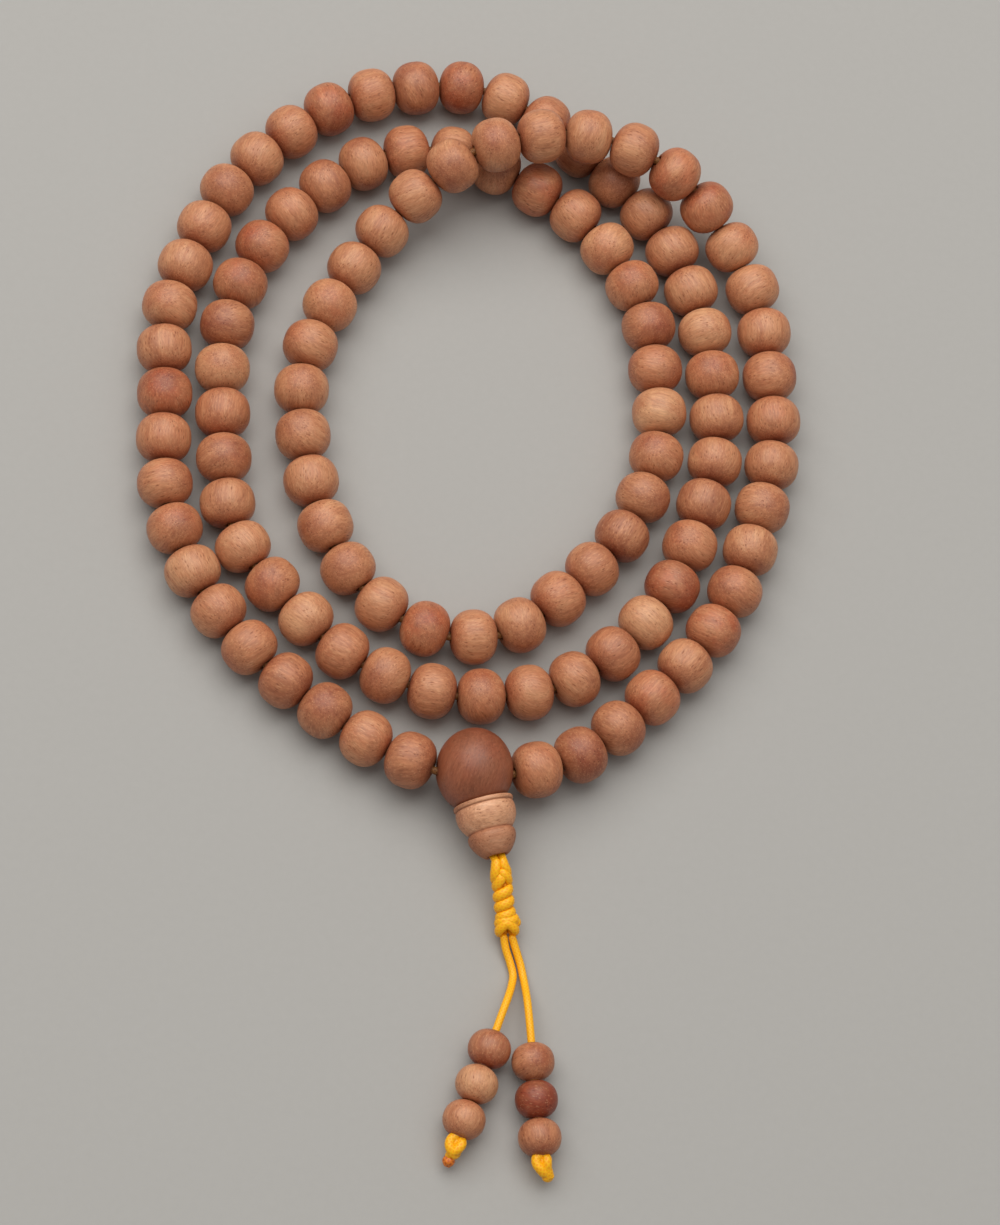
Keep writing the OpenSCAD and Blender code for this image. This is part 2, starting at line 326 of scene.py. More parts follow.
def wood_material(name, dark, middle, pale, gloss, figure=1.0):
    """Turned wood. The pieces store grain (millimetres, with the grain along Z), look (tone,
    redness and how far the surface is end grain) and rub (how far it is darkened: painted shade
    where the piece meets other parts or lies in a groove, and the cap bead's foot)."""
    material, net, shader = new_material(name)
    at = net.attribute("grain")
    tone, red, end = net.split(net.attribute("look"))
    painted_shade = net.attribute("painted_shade", "Fac")
    drift = net.vector("SUBTRACT", net.noise(at, 0.16, 1.0, out="Color"), (0.5, 0.5, 0.5))
    at = net.vector("ADD", at, net.vector("SCALE", drift, 1.6))

    # soft uneven growth layers, finer lines in them, clouds and fibres
    layers = net.stretched(at, (0.62, 0.3, 0.03), 2.0, 0.5)
    lines = net.stretched(at, (2.8, 1.6, 0.1), 2.0, 0.6)
    cloud = net.noise(at, 0.3, 3.0, 0.55)
    fibre = net.stretched(at, (3.6, 3.6, 0.75), 3.0, 0.65)
    # open pores as dark dashes along the grain, and pale flecks between them
    pore = net.ramp(net.cells(at, (2.7, 2.7, 0.75)), 0.12, 0.32, 1.0, 0.0)
    pore = net.times(pore, net.ramp(net.noise(at, 0.8, 1.0), 0.38, 0.6))
    small_pore = net.ramp(net.cells(at, (4.8, 4.8, 1.7)), 0.1, 0.36, 1.0, 0.0)
    fleck = net.ramp(net.cells(at, (3.3, 3.3, 0.95)), 0.1, 0.36, 1.0, 0.0)

    # the bead's own tone, varied by the growth, picks a colour
    value = net.add(tone, net.times(net.add(layers, -0.5), 0.58))
    value = net.add(value, net.times(net.add(lines, -0.5), 0.5 * figure))
    value = net.add(value, net.times(net.add(cloud, -0.5), 0.42))
    value = net.add(value, net.times(end, -0.22))
    colour = net.colours(value, [(0.05, dark), (0.5, middle), (0.95, pale)])
    blush = net.times(net.add(red, net.times(end, 0.35)), net.ramp(cloud, 0.28, 0.7))
    colour = net.mix("MULTIPLY", blush, colour, (0.88, 0.58, 0.5, 1))
    strands = net.mix("MIX", fibre, (0.56, 0.5, 0.46, 1), (1.42, 1.48, 1.5, 1))
    colour = net.mix("MULTIPLY", 1.0, colour, strands)
    colour = net.mix("MIX", net.times(fleck, 0.3), colour, (*pale, 1))
    colour = net.mix("MULTIPLY", net.times(small_pore, 0.42), colour, (0.62, 0.5, 0.42, 1))
    colour = net.mix("MULTIPLY", net.times(pore, 0.75 * figure), colour, (0.48, 0.34, 0.26, 1))
    # painted shade: a darker brown where pieces meet and in grooves, slightly rougher there too
    shade_mask = net.ramp(painted_shade, 0.0, 1.0)
    colour = net.mix("MULTIPLY", net.times(shade_mask, 0.75), colour, (0.5, 0.34, 0.26, 1))
    net.put(shader.inputs["Base Color"], colour)

    rough = net.ramp(fibre, 0.3, 0.7, 0.92 * gloss, 1.12 * gloss)
    rough = net.add(rough, net.times(pore, 0.18))
    rough = net.add(rough, net.times(shade_mask, 0.12))
    net.put(shader.inputs["Roughness"], rough)
    shader.inputs["Specular IOR Level"].default_value = 0.45
    height = net.add(net.times(fibre, 0.35), net.times(lines, 0.3))
    pits = net.times(net.add(pore, net.times(small_pore, 0.3)), 0.8)
    height = net.math("SUBTRACT", height, pits)
    net.put(shader.inputs["Normal"], net.bump(height, 0.00004, 0.55))
    return material


# a cord's fine braid: strands seen round it, and how fast they wind, in radians a millimetre
WEAVE_WAVES, WEAVE_TURN = 6, 11.0


def cord_material(name, colour, crevice_shade, rough):
    """Braided nylon for tubes that store weave: cosine and sine of the angle, and millimetres
    along."""
    material, net, shader = new_material(name)
    weave = net.attribute("weave")
    x, y, far = net.split(weave)
    angle = net.times(net.math("ARCTAN2", y, x), float(WEAVE_WAVES))
    turn = net.times(far, WEAVE_TURN)
    over = net.math("MAXIMUM", net.math("SINE", net.add(angle, turn)),
                    net.math("SINE", net.math("SUBTRACT", angle, turn)))
    lift = net.ramp(over, -0.4, 0.9)
    thread = net.stretched(weave, (7.0, 7.0, 12.0), 2.0)
    soil = net.noise(weave, 0.9, 2.0)
    # painted shade: the darker colour lies in the hollows between the strands
    tint = net.mix("MIX", lift, (*crevice_shade, 1), (*colour, 1))
    threads = net.mix("MIX", thread, (0.93, 0.9, 0.84, 1), (1.05, 1.06, 1.06, 1))
    tint = net.mix("MULTIPLY", 1.0, tint, threads)
    tint = net.mix("MULTIPLY", net.ramp(soil, 0.5, 0.8, 0.0, 0.3), tint, (0.9, 0.74, 0.6, 1))
    net.put(shader.inputs["Base Color"], tint)
    net.put(shader.inputs["Roughness"], net.ramp(lift, 0.0, 1.0, rough + 0.14, rough))
    shader.inputs["Specular IOR Level"].default_value = 0.34
    height = net.add(net.times(lift, 0.8), net.times(thread, 0.25))
    net.put(shader.inputs["Normal"], net.bump(height, 0.00003, 0.35))
    return material


# each wood's dark, middle and pale colours
BEAD_WOOD = wood_material(
    "bead_wood", (0.28, 0.078, 0.036), (0.51, 0.212, 0.101), (0.71, 0.385, 0.2), gloss=0.42)
GURU_WOOD = wood_material(
    "guru_wood", (0.148, 0.037, 0.0155), (0.295, 0.097, 0.0455), (0.415, 0.166, 0.087),
    gloss=0.41, figure=0.45)
CAP_WOOD = wood_material(
    "cap_wood", (0.4, 0.155, 0.075), (0.68, 0.345, 0.19), (0.86, 0.53, 0.335), gloss=0.46)
CORD = cord_material("cord_nylon", (1.0, 0.51, 0.01), (0.96, 0.38, 0.005), 0.33)
# painted shade: a dark cord for the shaded gaps between the beads; the real cord is the same bright
# nylon
SHADE_PAINTED_CORD = cord_material("cord_painted_shade", (0.26, 0.1, 0.022), (0.17, 0.06, 0.014), 0.5)
MELTED = cord_material("melted_nylon", (0.72, 0.2, 0.02), (0.5, 0.1, 0.01), 0.28)


# ---------------------------------------------------------------- counter cords

CORD_RADIUS = 0.55 * MM
CORD_SIDES = 36
CORD_STEP = 0.1 * MM  # between the rings of a cord's mesh
LAST_TO_END = 3.2 * MM  # from the last bead's middle to the cord's end, in the end knot


def weave_shape(angle, far, whole):
    """Relief of a fine braid: two sets of strands that cross."""
    turn = far / MM * WEAVE_TURN
    over = max(math.sin(WEAVE_WAVES * angle + turn), math.sin(WEAVE_WAVES * angle - turn))
    return 0.982 + 0.018 * over


def cord_piece(name, path, body, radius=CORD_RADIUS, sides=CORD_SIDES, material=CORD,
               shape=weave_shape, stands_for=None, outward=None):
    """A piece of cord along a path, with its relief, its weave data and its material."""
    verts, faces, weave = tube(path, radius, sides, shape, outward)
    piece = new_piece(name, verts, faces, body, stands_for)
    store(piece, "weave", "FLOAT_VECTOR", weave)
    piece.data.materials.append(material)
    return piece


# the routes of the counter cords, in millimetres, as in the part
LEFT_POINTS = [
    (5.3, -67.6, 1.5), (5.6, -69, 1.1), (6.3, -71, 0.7),
    (6.7, -72.8, 0.7), (6.4, -74.4, 1.3), (5.8, -76.2, 2.4), (4.9, -78.6, 3),
]
RIGHT_POINTS = [
    (6.5, -67.6, 1.5), (7, -69, 1.1), (7.7, -71, 0.7),
    (8.1, -72.8, 0.7), (8.3, -74.6, 1.4), (8.4, -76.4, 2.4), (8.55, -78.8, 3),
]

ONE_BEAD = 3 * MM  # parts of a CAD mesh with middles closer than this are one bead


def solids(node):
    """Centre and hole direction of each bead in a CAD node. The mesh is split into its connected
    parts, and parts about one middle are a bead's outside and its hole."""
    mesh = NODES[node].data
    co = np.empty(len(mesh.vertices) * 3)
    mesh.vertices.foreach_get("co", co)
    co = co.reshape(-1, 3)
    edges = np.empty(len(mesh.edges) * 2, dtype=np.int64)
    mesh.edges.foreach_get("vertices", edges)
    edges = edges.reshape(-1, 2)
    label = np.arange(len(co))
    while True:
        low = np.minimum(label[edges[:, 0]], label[edges[:, 1]])
        new = label.copy()
        np.minimum.at(new, edges[:, 0], low)
        np.minimum.at(new, edges[:, 1], low)
        new = new[new]
        if (new == label).all():
            break
        label = new
    groups = []
    for k in np.unique(label):
        points = co[label == k]
        middle = (points.min(0) + points.max(0)) / 2
        for group in groups:
            if np.linalg.norm(group[0] - middle) < ONE_BEAD:
                group[1].append(points)
                break
        else:
            groups.append([middle, [points]])
    found = []
    for _, parts in groups:
        points = np.unique(np.concatenate(parts).round(7), axis=0)
        centre = points.mean(0)
        values, vectors = np.linalg.eigh(np.cov((points - centre).T))
        odd = int(np.argmax(np.abs(values - np.median(values))))
        found.append((Vector(centre), Vector(vectors[:, odd])))
    return found


SIDES = ("left", "right")
COUNTERS = {
    (side, number): solids("counter_bead_%s_%d" % (side, number))[0]
    for side in SIDES for number in (1, 2, 3)
}


def add_counter_cord(side, points):
    """The cord from inside the finishing knot, through the three beads, to inside its end knot."""
    points = [Vector(p) * MM for p in points]
    first, last = COUNTERS[side, 1][0], COUNTERS[side, 3][0]
    ahead = (last - first).normalized()
    inside = points[0] + (points[0] - points[1]).normalized() * 0.5 * MM
    path = smooth_path([inside] + points + [first, last + ahead * LAST_TO_END], CORD_STEP)
    piece = cord_piece("braided_cord_" + side, path, "counter_" + side,
                       stands_for="counter_cord_" + side)
    return piece, path


CORD_PIECES = {
    "left": add_counter_cord("left", LEFT_POINTS),
    "right": add_counter_cord("right", RIGHT_POINTS),
}


# ---------------------------------------------------------------- beads

# lengths of beads are in millimetres. Fullness is 2 for an oval profile, or more for a squarer one
BEAD_SIDES = 48
PROFILE_STEPS = 14
BEAD_WIDTH, BEAD_HOLE = 8.0, 1.5
BEAD_FULLNESS, FULLNESS_SPREAD, FULLEST = 2.25, 0.2, 2.45
WIDTH_SPREAD = 0.012  # how much narrower a bead may be, as a share of its width
SMALL_WIDTH, SMALL_HALF, SMALL_FULLNESS = 5.95, 2.58, 2.05
TOUCH = 0.015  # left free between a bead's face and the middle of its gap

FULL_TURN = 6.28  # radians
WOOD_SPREAD = 90  # how far apart the pieces lie in the wood

# the rounded mouth of a bead's hole: how far out from its wall, and down from the end face
MOUTH = ((0, 0.25), (0.01, 0.14), (0.04, 0.06), (0.08, 0.02), (0.13, 0.003))


def bead_outline(width, back, ahead, hole, flat, fullness):
    """Closed outline of a bead. back and ahead are its lengths each side of its widest ring, and
    flat is the radius of its end faces."""
    widest, inner = width / 2, hole / 2

    def half(length):
        """From inside the hole, over its rounded mouth and the end face, to the widest ring."""
        mouth = [(inner + out, length - down) for out, down in MOUTH]
        tall = length / (1 - (flat / widest) ** fullness) ** (1 / fullness)
        start = math.asin((flat / widest) ** (fullness / 2))
        curve = []
        for k in range(PROFILE_STEPS + 1):
            a = start + (math.pi / 2 - start) * k / PROFILE_STEPS
            r = widest * math.sin(a) ** (2 / fullness)
            curve.append((r, tall * max(0.0, math.cos(a)) ** (2 / fullness)))
        return mouth + curve

    upper, lower = half(ahead), half(back)
    bore = [(inner, -back / 2), (inner, 0.0), (inner, ahead / 2)]
    return upper + [(r, -z) for r, z in reversed(lower[:-1])] + bore


def add_wood(piece, place, lean, look, painted_shade, rng, swing=None):
    """Stores where each point lies in the wood. lean turns the grain away from the piece's axis, to
    the side that swing gives, look is (tone, redness), and rub(radius, height), in the piece's own
    millimetres, gives how much painted shade darkens each point."""
    count = len(piece.data.vertices)
    co, normal = np.empty(count * 3), np.empty(count * 3)
    piece.data.vertices.foreach_get("co", co)
    piece.data.vertices.foreach_get("normal", normal)
    to_local = np.array(place.inverted().to_3x3())
    local = (co.reshape(-1, 3) - np.array(place.translation)) @ to_local.T
    normal = normal.reshape(-1, 3) @ (to_local * MM).T
    swing = rng.uniform(0, FULL_TURN) if swing is None else swing
    turn = Quaternion((0, 0, 1), swing) @ Quaternion((1, 0, 0), lean)
    turn = turn @ Quaternion((0, 0, 1), rng.uniform(0, FULL_TURN))
    into_wood = np.array(turn.inverted().to_matrix())
    shift = np.array([rng.uniform(-WOOD_SPREAD, WOOD_SPREAD) for _ in range(3)])
    end_grain = np.abs(normal @ into_wood[2]) ** 3
    store(piece, "grain", "FLOAT_VECTOR", local @ into_wood.T + shift)
    store(piece, "look", "FLOAT_VECTOR", [(*look, end) for end in end_grain])
    store(piece, "painted_shade", "FLOAT", [painted_shade(math.hypot(x, y), z) for x, y, z in local])


def step(x, low, high):
    """0 up to low and 1 from high, with a smooth change between. low may be the larger."""
    t = min(1.0, max(0.0, (x - low) / (high - low)))
    return t * t * (3 - 2 * t)


# the angles, in radians, that beads are cut at: with the hole along the grain or across it
GRAIN_LEANS = (0.0, 0.12, 0.3, 1.2, 1.35, 1.45, 1.57)


def add_bead(name, at, direction, sizes, body, node, look, seed):
    """sizes are the width, a function that gives the lengths back and ahead for a face radius, and
    the fullness of the profile."""
    rng = random.Random(seed)
    width, reach, fullness = sizes
    width = width * (1 - WIDTH_SPREAD * rng.random())
    flat = (0.93 + 0.1 * rng.random()) * (0.5 + width / 16)
    back, ahead = reach(flat)
    fullness += FULLNESS_SPREAD * rng.random()
    verts, faces = lathe(bead_outline(width, back, ahead, BEAD_HOLE, flat, fullness), BEAD_SIDES)
    place = turned(at, direction)
    piece = new_piece(name, [place @ v for v in verts], faces, body, node)
    lean = rng.choice(GRAIN_LEANS)

    # painted shade: darker towards the hole, over the end faces where the bead meets its neighbours
    def painted_shade(r, z):
        return 0.55 * step(r, 0.42 * width, 0.13 * width)

    add_wood(piece, place, lean, look, painted_shade, rng)
    piece.data.materials.append(BEAD_WOOD)
    return piece


BEAD_COUNT, GROUP_SIZE, FIRST_SINGLE = 108, 9, 73
GURU_AT = Vector(JOINTS["cap_bead_turn"]["pos_m"])
TAIL = Vector(JOINTS["cap_bead_turn"]["axis"]).normalized()
BESIDE_TAIL = UPRIGHT.cross(TAIL).normalized()
GURU_WIDTH, GURU_LENGTH, GURU_FLAT, GURU_FULLNESS = 12.0, 10.6, 1.2, 2.02
LONGEST_HALF, SHORTEST_HALF, HALF_STEP = 3.7, 3.1, 0.02  # of the beads beside the guru bead

# beads that are clearly paler, darker or redder than the rest
PALE = {13, 30, 37, 45, 47, 51, 63, 67, 83, 94, 95}
LIGHT = {
    2, 6, 7, 9, 14, 15, 20, 23, 29, 31, 35, 40, 46, 62, 64,
    73, 74, 76, 78, 79, 80, 81, 82, 85, 86, 90, 96,
}
DARK = {1, 3, 4, 11, 19, 21, 22, 24, 34, 36, 38, 42, 52, 56, 65, 106}
DEEP = {70, 107}
RED = {11, 19, 22, 36, 54, 61, 75, 92, 93, 103, 105}
TONES = ((PALE, 0.68), (LIGHT, 0.55), (DARK, 0.4), (DEEP, 0.28))
PLAIN_TONE, TONE_SPREAD = 0.5, 0.03
RED_LOOK, PLAIN_REDS = 0.8, (0.05, 0.15, 0.3, 0.45)


def strand_beads():
    """Centre, hole direction, body and node of beads 1 to 108, in order round the strand."""
    beads = []
    at = GURU_AT + Vector((-GURU_WIDTH / 2, 0, 0)) * MM
    for first in range(1, FIRST_SINGLE, GROUP_SIZE):
        node = "beads_%03d_%03d" % (first, first + GROUP_SIZE - 1)
        left = solids(node)
        while left:
            near = min(left, key=lambda bead: (bead[0] - at).length)
            left.remove(near)
            centre, direction = near
            if direction.dot(centre - at) < 0:
                direction = -direction
            beads.append((centre, direction, "strand", node))
            at = centre
    for number in range(FIRST_SINGLE, BEAD_COUNT + 1):
        name = "bead_%03d" % number
        joint = JOINTS["spin_" + name]
        beads.append((Vector(joint["pos_m"]), Vector(joint["axis"]).normalized(), name, name))
    return beads


BEADS = strand_beads()


def reach_to_bead(at, ahead, next_at, next_ahead, flat):
    """How long half a bead can be before its face meets the next bead's. Millimetres."""
    bend = ahead.angle(next_ahead)
    half = (next_at - at).dot(ahead) / (1 + math.cos(bend)) / MM
    return half - flat * math.tan(bend / 2) - TOUCH


def in_guru(point):
    """Whether a point lies in the guru bead, or closer to it than TOUCH. Metres."""
    off = (point - GURU_AT) / MM
    r, full = GURU_WIDTH / 2, GURU_FULLNESS
    tall = GURU_LENGTH / 2 / (1 - (GURU_FLAT / r) ** full) ** (1 / full) + TOUCH
    return (math.hypot(off.y, off.z) / r) ** full + (abs(off.x) / tall) ** full < 1


def reach_to_guru(at, ahead, flat):
    """How long half a bead can be before it meets the guru bead. Millimetres."""
    place = turned(at, ahead)
    length = LONGEST_HALF
    while length > SHORTEST_HALF:
        outline = bead_outline(BEAD_WIDTH, length, length, BEAD_HOLE, flat, FULLEST)
        points, _ = lathe(outline[len(MOUTH):len(MOUTH) + 11], 16)
        if not any(in_guru(place @ p) for p in points):
            break
        length -= HALF_STEP
    return length


def bead_reach(number):
    """A function that gives a strand bead's lengths back and ahead for a face radius, so that it
    just meets its neighbours."""
    at, ahead = BEADS[number - 1][:2]

    def reach(flat):
        if number == 1:
            back = reach_to_guru(at, -ahead, flat)
        else:
            there, their = BEADS[number - 2][:2]
            back = reach_to_bead(at, -ahead, there, -their, flat)
        if number == BEAD_COUNT:
            return back, reach_to_guru(at, ahead, flat)
        there, their = BEADS[number][:2]
        return back, reach_to_bead(at, ahead, there, their, flat)

    return reach


def add_strand():
    for number, (at, direction, body, node) in enumerate(BEADS, 1):
        rng = random.Random(900 + number)
        tone = next((tone for numbers, tone in TONES if number in numbers), PLAIN_TONE)
        tone += rng.uniform(-TONE_SPREAD, TONE_SPREAD)
        red = RED_LOOK if number in RED else rng.choice(PLAIN_REDS)
        add_bead("main_bead_%03d" % number, at, direction,
                 (BEAD_WIDTH, bead_reach(number), BEAD_FULLNESS), body, node,
                 (tone, red), number)


add_strand()

# tone and redness of the counter beads
COUNTER_LOOKS = {
    ("left", 1): (0.32, 0.9), ("left", 2): (0.68, 0.1), ("left", 3): (0.52, 0.3),
    ("right", 1): (0.45, 0.4), ("right", 2): (0.02, 2.2), ("right", 3): (0.42, 0.35),
}


def add_counter_bead(side, number):
    at, direction = COUNTERS[side, number]
    name = "%s_%d" % (side, number)
    sizes = (SMALL_WIDTH, lambda flat: (SMALL_HALF, SMALL_HALF), SMALL_FULLNESS)
    seed = 400 + number + (10 if side == "left" else 0)
    return add_bead("small_bead_" + name, at, direction, sizes, "bead_" + name,
                    "counter_bead_" + name, COUNTER_LOOKS[side, number], seed)


COUNTER_BEADS = {side: [add_counter_bead(side, number) for number in (1, 2, 3)] for side in SIDES}


# ---------------------------------------------------------------- guru and cap beads

TURNED_SIDES = 72
TAIL_BORE = 2.7  # the guru bead's hole for the tail, and the cap bead's hole


def drill(piece, at, direction, width, depth, rim):
    """Cuts a round hole with a small chamfer at its mouth."""
    r, axis = width / 2, 0.001
    outline = [(axis, -depth), (r, -depth), (r, -0.5), (r + rim, 0.35), (r + rim, 2), (axis, 2)]
    verts, faces = lathe(outline, BEAD_SIDES)
    place = turned(at, direction)
    mesh = bpy.data.meshes.new("cutter")
    mesh.from_pydata([tuple(place @ v) for v in verts], [], faces)
    cutter = bpy.data.objects.new("cutter", mesh)
    scene.collection.objects.link(cutter)
    cut = piece.modifiers.new("hole", "BOOLEAN")
    cut.operation, cut.solver, cut.object = "DIFFERENCE", "EXACT", cutter
    bpy.context.view_layer.update()
    drilled = piece.evaluated_get(bpy.context.evaluated_depsgraph_get())
    solid = bpy.data.meshes.new_from_object(drilled)
    piece.modifiers.clear()
    old = piece.data
    piece.data = solid
    bpy.data.meshes.remove(old)
    bpy.data.objects.remove(cutter)
    solid.polygons.foreach_set("use_smooth", [True] * len(solid.polygons))


def add_guru_bead():
    """The big bead, with a hole through it for the strand and one for the tail."""
    half, strand_hole = GURU_LENGTH / 2, 2.0
    outline = bead_outline(GURU_WIDTH, half, half, strand_hole, GURU_FLAT, GURU_FULLNESS)
    verts, faces = lathe(outline, TURNED_SIDES)
    place = turned(GURU_AT, (1, 0, 0))
    verts = [place @ v for v in verts]
    piece = new_piece("big_bead", verts, faces, "strand", "guru_bead")
    piece.data.materials.append(GURU_WOOD)
    drill(piece, GURU_AT + TAIL * 5.95 * MM, TAIL, TAIL_BORE, 5.0, 0.15)

    # painted shade: darker about the strand holes, where the beads beside it press on it
    def painted_shade(r, z):
        return 0.5 * step(r, 3.4, 1.2)

    add_wood(piece, place, 1.3, (0.5, 0.45), painted_shade, random.Random(7))


def add_cap_bead():
    """The turned bead below the guru bead: seat, lip, bulging body, groove, foot and mouth."""
    seat, bore, edge, seat_steps = GURU_WIDTH / 2 + 0.2, TAIL_BORE / 2, 4.1, 11
    outline = []
    for k in range(seat_steps + 1):
        r = bore + 0.03 + (edge - bore - 0.03) * k / seat_steps
        outline.append((r, math.sqrt(seat**2 - r * r)))
    outline += [
        # lip and the groove under it
        (4.16, 4.63), (4.21, 4.68), (4.24, 4.77), (4.25, 4.9), (4.24, 5.06), (4.2, 5.17),
        (4.12, 5.23), (4.05, 5.26), (4.02, 5.31), (4.04, 5.38),
        # body
        (4.1, 5.46), (4.16, 5.6), (4.21, 5.85), (4.24, 6.15), (4.24, 6.5), (4.2, 6.9),
        (4.12, 7.28), (4.0, 7.62), (3.84, 7.96), (3.66, 8.26), (3.45, 8.56), (3.26, 8.78),
        # groove and foot
        (3.13, 8.92), (3.09, 9.0), (3.13, 9.07), (3.22, 9.14), (3.31, 9.26), (3.37, 9.44),
        (3.4, 9.7), (3.38, 10.0), (3.3, 10.35), (3.16, 10.7), (2.97, 11.05), (2.74, 11.4),
        (2.48, 11.75), (2.22, 12.05), (1.99, 12.28),
        # mouth and bore
        (1.8, 12.42), (1.62, 12.48), (1.48, 12.45), (bore + 0.05, 12.36), (bore, 12.2),
        (bore, 11), (bore, 9), (bore, 7.4), (bore, 6.3),
    ]
    verts, faces = lathe(outline, TURNED_SIDES)
    place = turned(GURU_AT, TAIL)
    verts, faces = [place @ v for v in verts], [tuple(reversed(f)) for f in faces]
    piece = new_piece("cap_bead", verts, faces, "stupa", "stupa_bead")
    piece.data.materials.append(CAP_WOOD)

    def painted_shade(r, z):
        """Painted shade in the grooves, in the mouth and along the lip where the guru bead sits,
        and a darker foot.
        """
        grooves = math.exp(-((z - 5.3) / 0.12) ** 2) + math.exp(-((z - 8.98) / 0.2) ** 2)
        foot = 0.75 * step(z, 8.6, 9.3)
        rim = 0.3 * step(z, 5.3, 5.1)
        mouth = 0.4 * step(r, 2.6, 1.5)
        return min(1.0, 0.8 * grooves + foot + rim + mouth)

    add_wood(piece, place, 1.5, (0.5, 0.1), painted_shade, random.Random(31), 1.45)


add_guru_bead()
add_cap_bead()


# ---------------------------------------------------------------- braided knot

BRAID_TOP = Vector(JOINTS["braid_swing"]["pos_m"])
BRAID_END = Vector((5.8, -67.1, 1.75)) * MM
DOWN = (BRAID_END - BRAID_TOP).normalized()
ACROSS = UPRIGHT.cross(DOWN).normalized()
UP = DOWN.cross(ACROSS)
BRAID_STEP = 0.11 * MM
CORE_RADIUS = 0.5  # millimetres


def on_braid(x, y, s):
    """A point x to the right of, y above and s down the braid, in millimetres."""
    return BRAID_TOP + (ACROSS * x + UP * y + DOWN * s) * MM


def from_braid(point):
    """The direction straight out from the braid's middle line to a point."""
    off = point - BRAID_TOP
    return off - DOWN * off.dot(DOWN)


def pressed(thin, wide):
    """The shape of a cord pressed flat against what it goes round."""
    def shape(angle, far, whole):
        flat = 1 / math.hypot(math.cos(angle) / thin, math.sin(angle) / wide)
        return weave_shape(angle, far, whole) * flat
    return shape


def add_braid_strand(name, points, radius=0.62, thin=0.92, wide=1.12, outward=from_braid):
    """A strand of the braid. Its points and its radius are in millimetres."""
    path = smooth_path([on_braid(*p) for p in points], BRAID_STEP)
    return cord_piece(name, path, "braid", radius * MM, shape=pressed(thin, wide),
                      stands_for="snake_knot", outward=outward)


def add_core(name, points):
    return add_braid_strand(name, points, CORE_RADIUS, 1, 1, None)


def braid_turns():
    """Turns round the cores: steep in front at the top, and nearly level at the end."""
    start, pitch, count = 2.62, 1.46, 3.5
    steps_a_turn = 12
    points = []
    for k in range(1, int(count * steps_a_turn) + 1):
        t = k / steps_a_turn
        part = t % 1
        front = 0.78 - 0.42 * t / count
        down = part * 2 * (1 - front) if part < 0.5 else 1 - front + (part - 0.5) * 2 * front
        a = 2 * math.pi * t
        points.append((-0.96 * math.cos(a), -0.88 * math.sin(a), start + pitch * (int(t) + down)))
    return points


def add_braid():
    # two cores that the turns go round
    add_core("braid_strand_1", [
        (-0.42, 0, -1.0), (-0.45, 0.05, 2), (-0.4, 0, 5), (-0.45, -0.05, 8), (-0.5, -0.1, 9)])
    add_core("braid_strand_2", [
        (0.42, 0, -1.0), (0.4, -0.05, 2), (0.45, 0.05, 5), (0.42, 0, 8), (0.5, -0.1, 9)])
    # the two cords as they leave the cap bead
    add_braid_strand("braid_strand_3", [
        (-0.48, 0.1, -1.3), (-0.58, 0.4, -0.7), (-0.72, 0.62, 0), (-0.92, 0.48, 0.9),
        (-0.92, -0.1, 1.6), (-0.35, -0.65, 2.2)], 0.68)
    add_braid_strand("braid_strand_4", [
        (0.48, 0.1, -1.3), (0.5, 0.45, -0.8), (0.56, 0.62, -0.2), (0.9, 0.38, 0.6),
        (0.88, -0.3, 1.3), (0.2, -0.75, 1.7)], 0.64)
    # the first loop, an inverted V, whose left leg goes on into the turns
    add_braid_strand("braid_strand_5", [
        (-0.25, 0.42, 1.0), (0.1, 0.8, 0.78), (0.55, 0.78, 1.2), (0.93, 0.32, 1.85),
        (0.82, -0.4, 2.35), (0.2, -0.8, 2.65)], 0.64)
    left_leg = [(0.12, 0.78, 0.95), (-0.36, 0.82, 1.65), (-0.86, 0.32, 2.35)]
    add_braid_strand("braid_strand_6", left_leg + braid_turns(), 0.62, 0.9, 1.25)


def add_finishing_knot():
    """Two strands that cross in front, with a bump at the right."""
    add_braid_strand("finishing_strand_1", [
        (-0.3, -0.85, 7.1), (0.65, -0.7, 7.15), (1.25, -0.05, 7.3), (1.08, 0.65, 7.45),
        (0.35, 0.98, 7.5), (-0.45, 0.92, 7.45), (-1.02, 0.4, 7.55), (-1.1, -0.3, 7.8),
        (-0.5, -0.92, 7.95), (0.4, -0.95, 7.9), (1.2, -0.45, 7.75), (1.45, 0.15, 7.85),
        (1.15, 0.62, 8.25)], 0.64)
    add_braid_strand("finishing_strand_2", [
        (0.2, -0.6, 8.95), (-0.6, -0.75, 9.0), (-1.15, -0.25, 8.95), (-1.22, 0.35, 8.65),
        (-0.82, 0.88, 8.15), (-0.2, 1.1, 7.8), (0.36, 1.05, 8.05), (0.82, 0.82, 8.55),
        (1.1, 0.25, 8.95), (0.8, -0.4, 9.1), (0.2, -0.6, 9.0)], 0.64)


add_braid()
add_finishing_knot()


STUB_RADIUS = 0.56  # millimetres, and how far each stub lies from the tail's middle line


def add_stub(number, x):
    """The cord from the cap bead's hole to the braid."""
    points = [GURU_AT + (TAIL * s + BESIDE_TAIL * x) * MM for s in (10.6, 11.4, 12.2)]
    points += [on_braid(x, 0.1, -0.9), on_braid(x, 0.1, -0.3), on_braid(x, 0.05, 0.4)]
    path = smooth_path(points, CORD_STEP)
    piece = cord_piece("cord_stub_%d" % number, path, None, STUB_RADIUS * MM)
    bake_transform(piece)


add_stub(1, -STUB_RADIUS)
add_stub(2, STUB_RADIUS)


# ---------------------------------------------------------------- end knots

KNOT_SLOPE = math.radians(24)
KNOT_START = 2.65 * MM  # from the last bead's middle, at the bead's end


